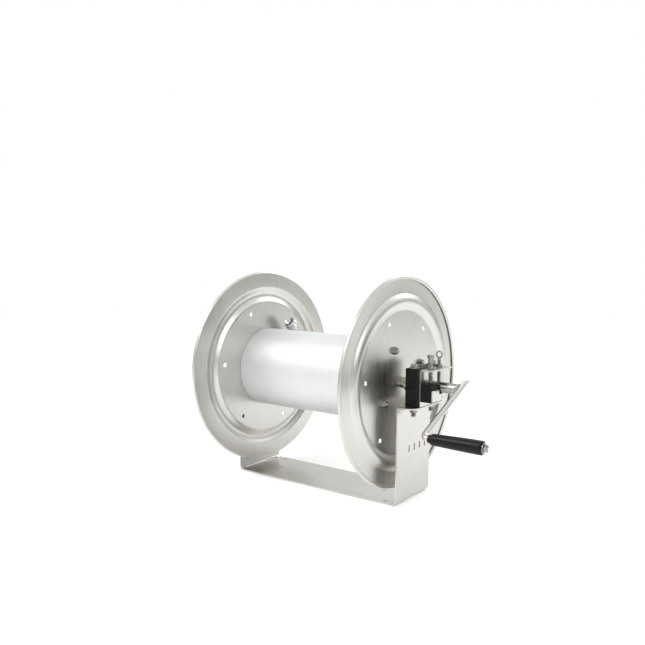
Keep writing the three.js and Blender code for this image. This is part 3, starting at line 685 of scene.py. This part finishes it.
def blended(name, bm):
    """Merges overlapping lumps into one cast shape."""
    piece = to_object(name, bm)
    remesh = piece.modifiers.new("merge", "REMESH")
    remesh.mode = "VOXEL"
    remesh.voxel_size = 0.45 * MM
    smooth = piece.modifiers.new("soften", "SMOOTH")
    smooth.iterations = 3
    mesh = evaluated_mesh(piece)
    bpy.data.objects.remove(piece)
    result = bmesh.new()
    result.from_mesh(mesh)
    bpy.data.meshes.remove(mesh)
    return result


def brake_screw(node, head_height, head_shape):
    """Threaded shank with a cast head, as one piece."""
    low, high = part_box(node)
    place = centre(node)
    top = high.z - low.z
    shank_top = top - head_height
    profile = [(0, M8_RADIUS * 0.7), (0.7 * MM, M8_RADIUS * 0.9)]
    profile += thread_rings(0.8 * MM, shank_top - 2.5 * MM, M8_RADIUS, M8_PITCH, M8_THREAD_DEPTH)
    profile += [(shank_top - 2.2 * MM, M8_RADIUS * 0.95), (shank_top + 1 * MM, M8_RADIUS * 0.95)]
    shank = rings(profile, 28, False)
    shank.transform(facing((0, 0, 0), Z_AXIS))
    lumps = bmesh.new()
    head_shape(lumps, shank_top, top)
    absorb(shank, blended(node + "_head", lumps))
    piece = to_object(node + "_cast", shank, Matrix.Translation((place.x, place.y, low.z)), 45)
    return dressed(piece, node)


def wing_head(bm, base, top):
    """Hub with two cast wings."""
    hub = rings([(base - 1 * MM, 4.4 * MM), (base + 0.5 * MM, 5 * MM), (base + 4.5 * MM, 4.3 * MM),
                 (base + 6 * MM, 3.2 * MM)], 32, False)
    hub.transform(facing((0, 0, 0), Z_AXIS))
    absorb(bm, hub)
    middle = top - 5 * MM
    for side in (-1, 1):
        blob(bm, (4.6 * MM, 1.9 * MM, 4.8 * MM), (side * 4.2 * MM, 0, middle))
        blob(bm, (3.2 * MM, 2.2 * MM, 3.4 * MM), (side * 2.6 * MM, 0, middle - 2 * MM))


def ring_head(bm, base, top):
    """Upright ring on a small boss."""
    tube = 1.75 * MM
    radius = 6.5 * MM
    middle = top - radius - tube
    turns, sides = 48, 16
    skin = []
    for i in range(turns):
        turn = tau * i / turns
        ring = []
        for k in range(sides):
            around = tau * k / sides
            out = radius + tube * cos(around)
            ring.append(bm.verts.new((out * cos(turn), tube * sin(around), middle + out * sin(turn))))
        skin.append(ring)
    for i in range(turns):
        for k in range(sides):
            n, m = (i + 1) % turns, (k + 1) % sides
            bm.faces.new((skin[i][k], skin[n][k], skin[n][m], skin[i][m]))
    blob(bm, (3.9 * MM, 3.9 * MM, 2.6 * MM), (0, 0, base))


brake_screw("brake_screw_front", 11 * MM, wing_head)
brake_screw("brake_screw_back", 15.8 * MM, ring_head)

# ---- inlet swivel -----------------------------------------------------------------------


def swivel():
    """Turned swivel body with a seal groove and a port cut through its underside."""
    low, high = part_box("swivel_body")
    length = high.x - low.x
    outer = (high.z - low.z) / 2
    bore, wall, pinhole = AXLE_BORE, 4 * MM, 0.05 * MM
    seal = 32 * MM
    profile = [(0, pinhole), (0, outer - 3.4 * MM), (0.9 * MM, outer - 2.2 * MM),
               (3 * MM, outer - 0.3 * MM), (3.6 * MM, outer), (23 * MM, outer),
               (23.6 * MM, outer - 0.9 * MM), (25.4 * MM, outer - 0.9 * MM), (26 * MM, outer),
               (length - 6 * MM, outer),
               (length - 5.4 * MM, outer - 0.9 * MM), (length - 3.8 * MM, outer - 0.9 * MM),
               (length - 3.2 * MM, outer - 0.1 * MM), (length - 0.8 * MM, outer - 2.2 * MM),
               (length, outer - 3 * MM), (length, bore), (seal + 2 * MM, bore),
               (seal + 2 * MM, outer - wall - 2 * MM), (seal - 2 * MM, outer - wall - 2 * MM),
               (seal - 2 * MM, bore), (wall, bore), (wall, pinhole)]
    piece = to_object("swivel_body_turned", rings(profile, 96, True))
    down = facing((centre("swivel_port").x - low.x, 0, 0), -Z_AXIS)
    cut_by(piece, [rod_cutter(WATER_BORE, 0, 30 * MM, 32, down)])
    piece.data.transform(Matrix.Translation((low.x, 0, AXIS.z)))
    dressed(piece, "swivel_body")


def swivel_port():
    """Threaded supply port with a hexagon above its thread."""
    low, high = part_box("swivel_port")
    place = centre("swivel_port")
    length = high.z - low.z
    radius, bore = 13 * MM, WATER_BORE
    profile = [(length, bore), (length, radius - 0.6 * MM), (length - 0.6 * MM, radius)]
    top = length - 3 * MM
    hexagonal = hex_rings(14 * MM, top, 30 * MM, True, True)
    profile += [(top, radius)] + hexagonal[::-1] + [(14 * MM, radius), (12.8 * MM, radius * 0.93)]
    profile += thread_rings(1 * MM, 12.6 * MM, radius, 1.8 * MM, 0.9 * MM)[::-1]
    profile += [(0.6 * MM, radius * 0.91), (0, radius * 0.88), (0, bore + 0.6 * MM), (0.6 * MM, bore)]
    piece = to_object("swivel_port_threaded", rings(profile, 72, True),
                      facing((place.x, place.y, low.z), Z_AXIS))
    dressed(piece, "swivel_port")


swivel()
swivel_port()
refined("swivel_seal", 0.4 * MM)

# ---- camera, stage and light ------------------------------------------------------------


CAMERA_PLACE = (0.9396, -1.1850, 0.4937)
CAMERA_RIGHT = (0.851, 0.525, 0.0188)
CAMERA_BACK = (0.5174, -0.8438, 0.1425)
FOCAL_LENGTHS_PER_WIDTH = 660 / 645


def camera():
    """Camera standing and framed as the photograph was taken."""
    data = bpy.data.cameras.new("camera")
    data.sensor_width = 36
    data.lens = data.sensor_width * FOCAL_LENGTHS_PER_WIDTH
    data.shift_x, data.shift_y = -0.135, 0.0643
    rig = bpy.data.objects.new("camera", data)
    right = Vector(CAMERA_RIGHT).normalized()
    back = Vector(CAMERA_BACK).normalized()
    up = back.cross(right).normalized()
    right = up.cross(back)
    rig.matrix_world = Matrix.Translation(CAMERA_PLACE) @ Matrix(
        (right, up, back)).transposed().to_4x4()
    bpy.context.scene.collection.objects.link(rig)
    bpy.context.scene.camera = rig


def softbox(name, place, target, size, power):
    """Rectangular area light, its sizes in metres and its power in watts."""
    data = bpy.data.lights.new(name, "AREA")
    data.shape = "RECTANGLE"
    data.size, data.size_y = size
    data.energy = power
    lamp = bpy.data.objects.new(name, data)
    lamp.location = place
    lamp.rotation_euler = (Vector(target) - Vector(place)).to_track_quat("-Z", "Y").to_euler()
    bpy.context.scene.collection.objects.link(lamp)


def floor():
    bm = bmesh.new()
    bmesh.ops.create_circle(bm, cap_ends=True, radius=6, segments=64)
    piece = to_object("floor", bm, Matrix.Translation((0, 0, -0.0005)))
    finish = Finish("floor_white", metallic=0.0, Roughness=0.7)
    finish.shader.inputs["Base Color"].default_value = (0.95, 0.95, 0.95, 1)
    finish.shader.inputs["Emission Color"].default_value = (1, 1, 1, 1)
    finish.shader.inputs["Emission Strength"].default_value = 0.12
    piece.data.materials.append(finish.material)


CARD_SHADE = 0.06
DARK_CARDS = (  # (azimuth, elevation, cosine where the card fades out, cosine where it is full)
    (8, -4, 0.80, 0.95),
    (168, -4, 0.84, 0.96),
)


def dark_card(nodes, links, direction, azimuth, elevation, fade, full):
    """1 away from a direction and nearly 0 towards it, like a black card in a white room."""
    flat = cos(radians(elevation))
    dot = nodes.new("ShaderNodeVectorMath")
    dot.operation = "DOT_PRODUCT"
    links.new(direction, dot.inputs[0])
    dot.inputs[1].default_value = (flat * cos(radians(azimuth)), flat * sin(radians(azimuth)),
                                   sin(radians(elevation)))
    shade = nodes.new("ShaderNodeMapRange")
    shade.interpolation_type = "SMOOTHSTEP"
    for socket, value in (("From Min", fade), ("From Max", full), ("To Min", 1.0),
                          ("To Max", CARD_SHADE)):
        shade.inputs[socket].default_value = value
    links.new(dot.outputs["Value"], shade.inputs["Value"])
    return shade.outputs["Result"]


def studio_world():
    """White room for the eye; in reflections it has a grey floor line and black cards."""
    world = bpy.data.worlds.new("studio")
    world.use_nodes = True
    nodes, links = world.node_tree.nodes, world.node_tree.links
    plain = nodes["Background"]
    plain.inputs["Color"].default_value = (1, 1, 1, 1)
    plain.inputs["Strength"].default_value = 1.0
    room = nodes.new("ShaderNodeBackground")
    direction = nodes.new("ShaderNodeTexCoord").outputs["Generated"]
    split = nodes.new("ShaderNodeSeparateXYZ")
    links.new(direction, split.inputs["Vector"])
    ramp = nodes.new("ShaderNodeValToRGB")
    stops = ((0.0, (0.66, 0.66, 0.64, 1)), (0.5, (1, 1, 1, 1)))
    for element, (height, colour) in zip(ramp.color_ramp.elements, stops):
        element.position, element.color = height, colour
    links.new(split.outputs["Z"], ramp.inputs["Fac"])
    both = nodes.new("ShaderNodeMath")
    both.operation = "MULTIPLY"
    for card, socket in zip(DARK_CARDS, both.inputs):
        links.new(dark_card(nodes, links, direction, *card), socket)
    links.new(ramp.outputs["Color"], room.inputs["Color"])
    links.new(both.outputs["Value"], room.inputs["Strength"])
    path = nodes.new("ShaderNodeLightPath")
    mix = nodes.new("ShaderNodeMixShader")
    links.new(path.outputs["Is Camera Ray"], mix.inputs["Fac"])
    links.new(room.outputs["Background"], mix.inputs[1])
    links.new(plain.outputs["Background"], mix.inputs[2])
    links.new(mix.outputs["Shader"], nodes["World Output"].inputs["Surface"])
    bpy.context.scene.world = world


camera()
floor()
studio_world()
softbox("key", (-1.2, -2.0, 2.6), (0, 0, 0.2), (1.8, 1.4), 45)
softbox("fill", (2.6, -0.6, 1.6), (0.1, 0, 0.25), (1.6, 1.6), 20)
softbox("rim", (0.2, 2.4, 2.0), (0, 0, 0.3), (2.4, 1.2), 25)
bpy.context.scene.view_settings.view_transform = "Standard"
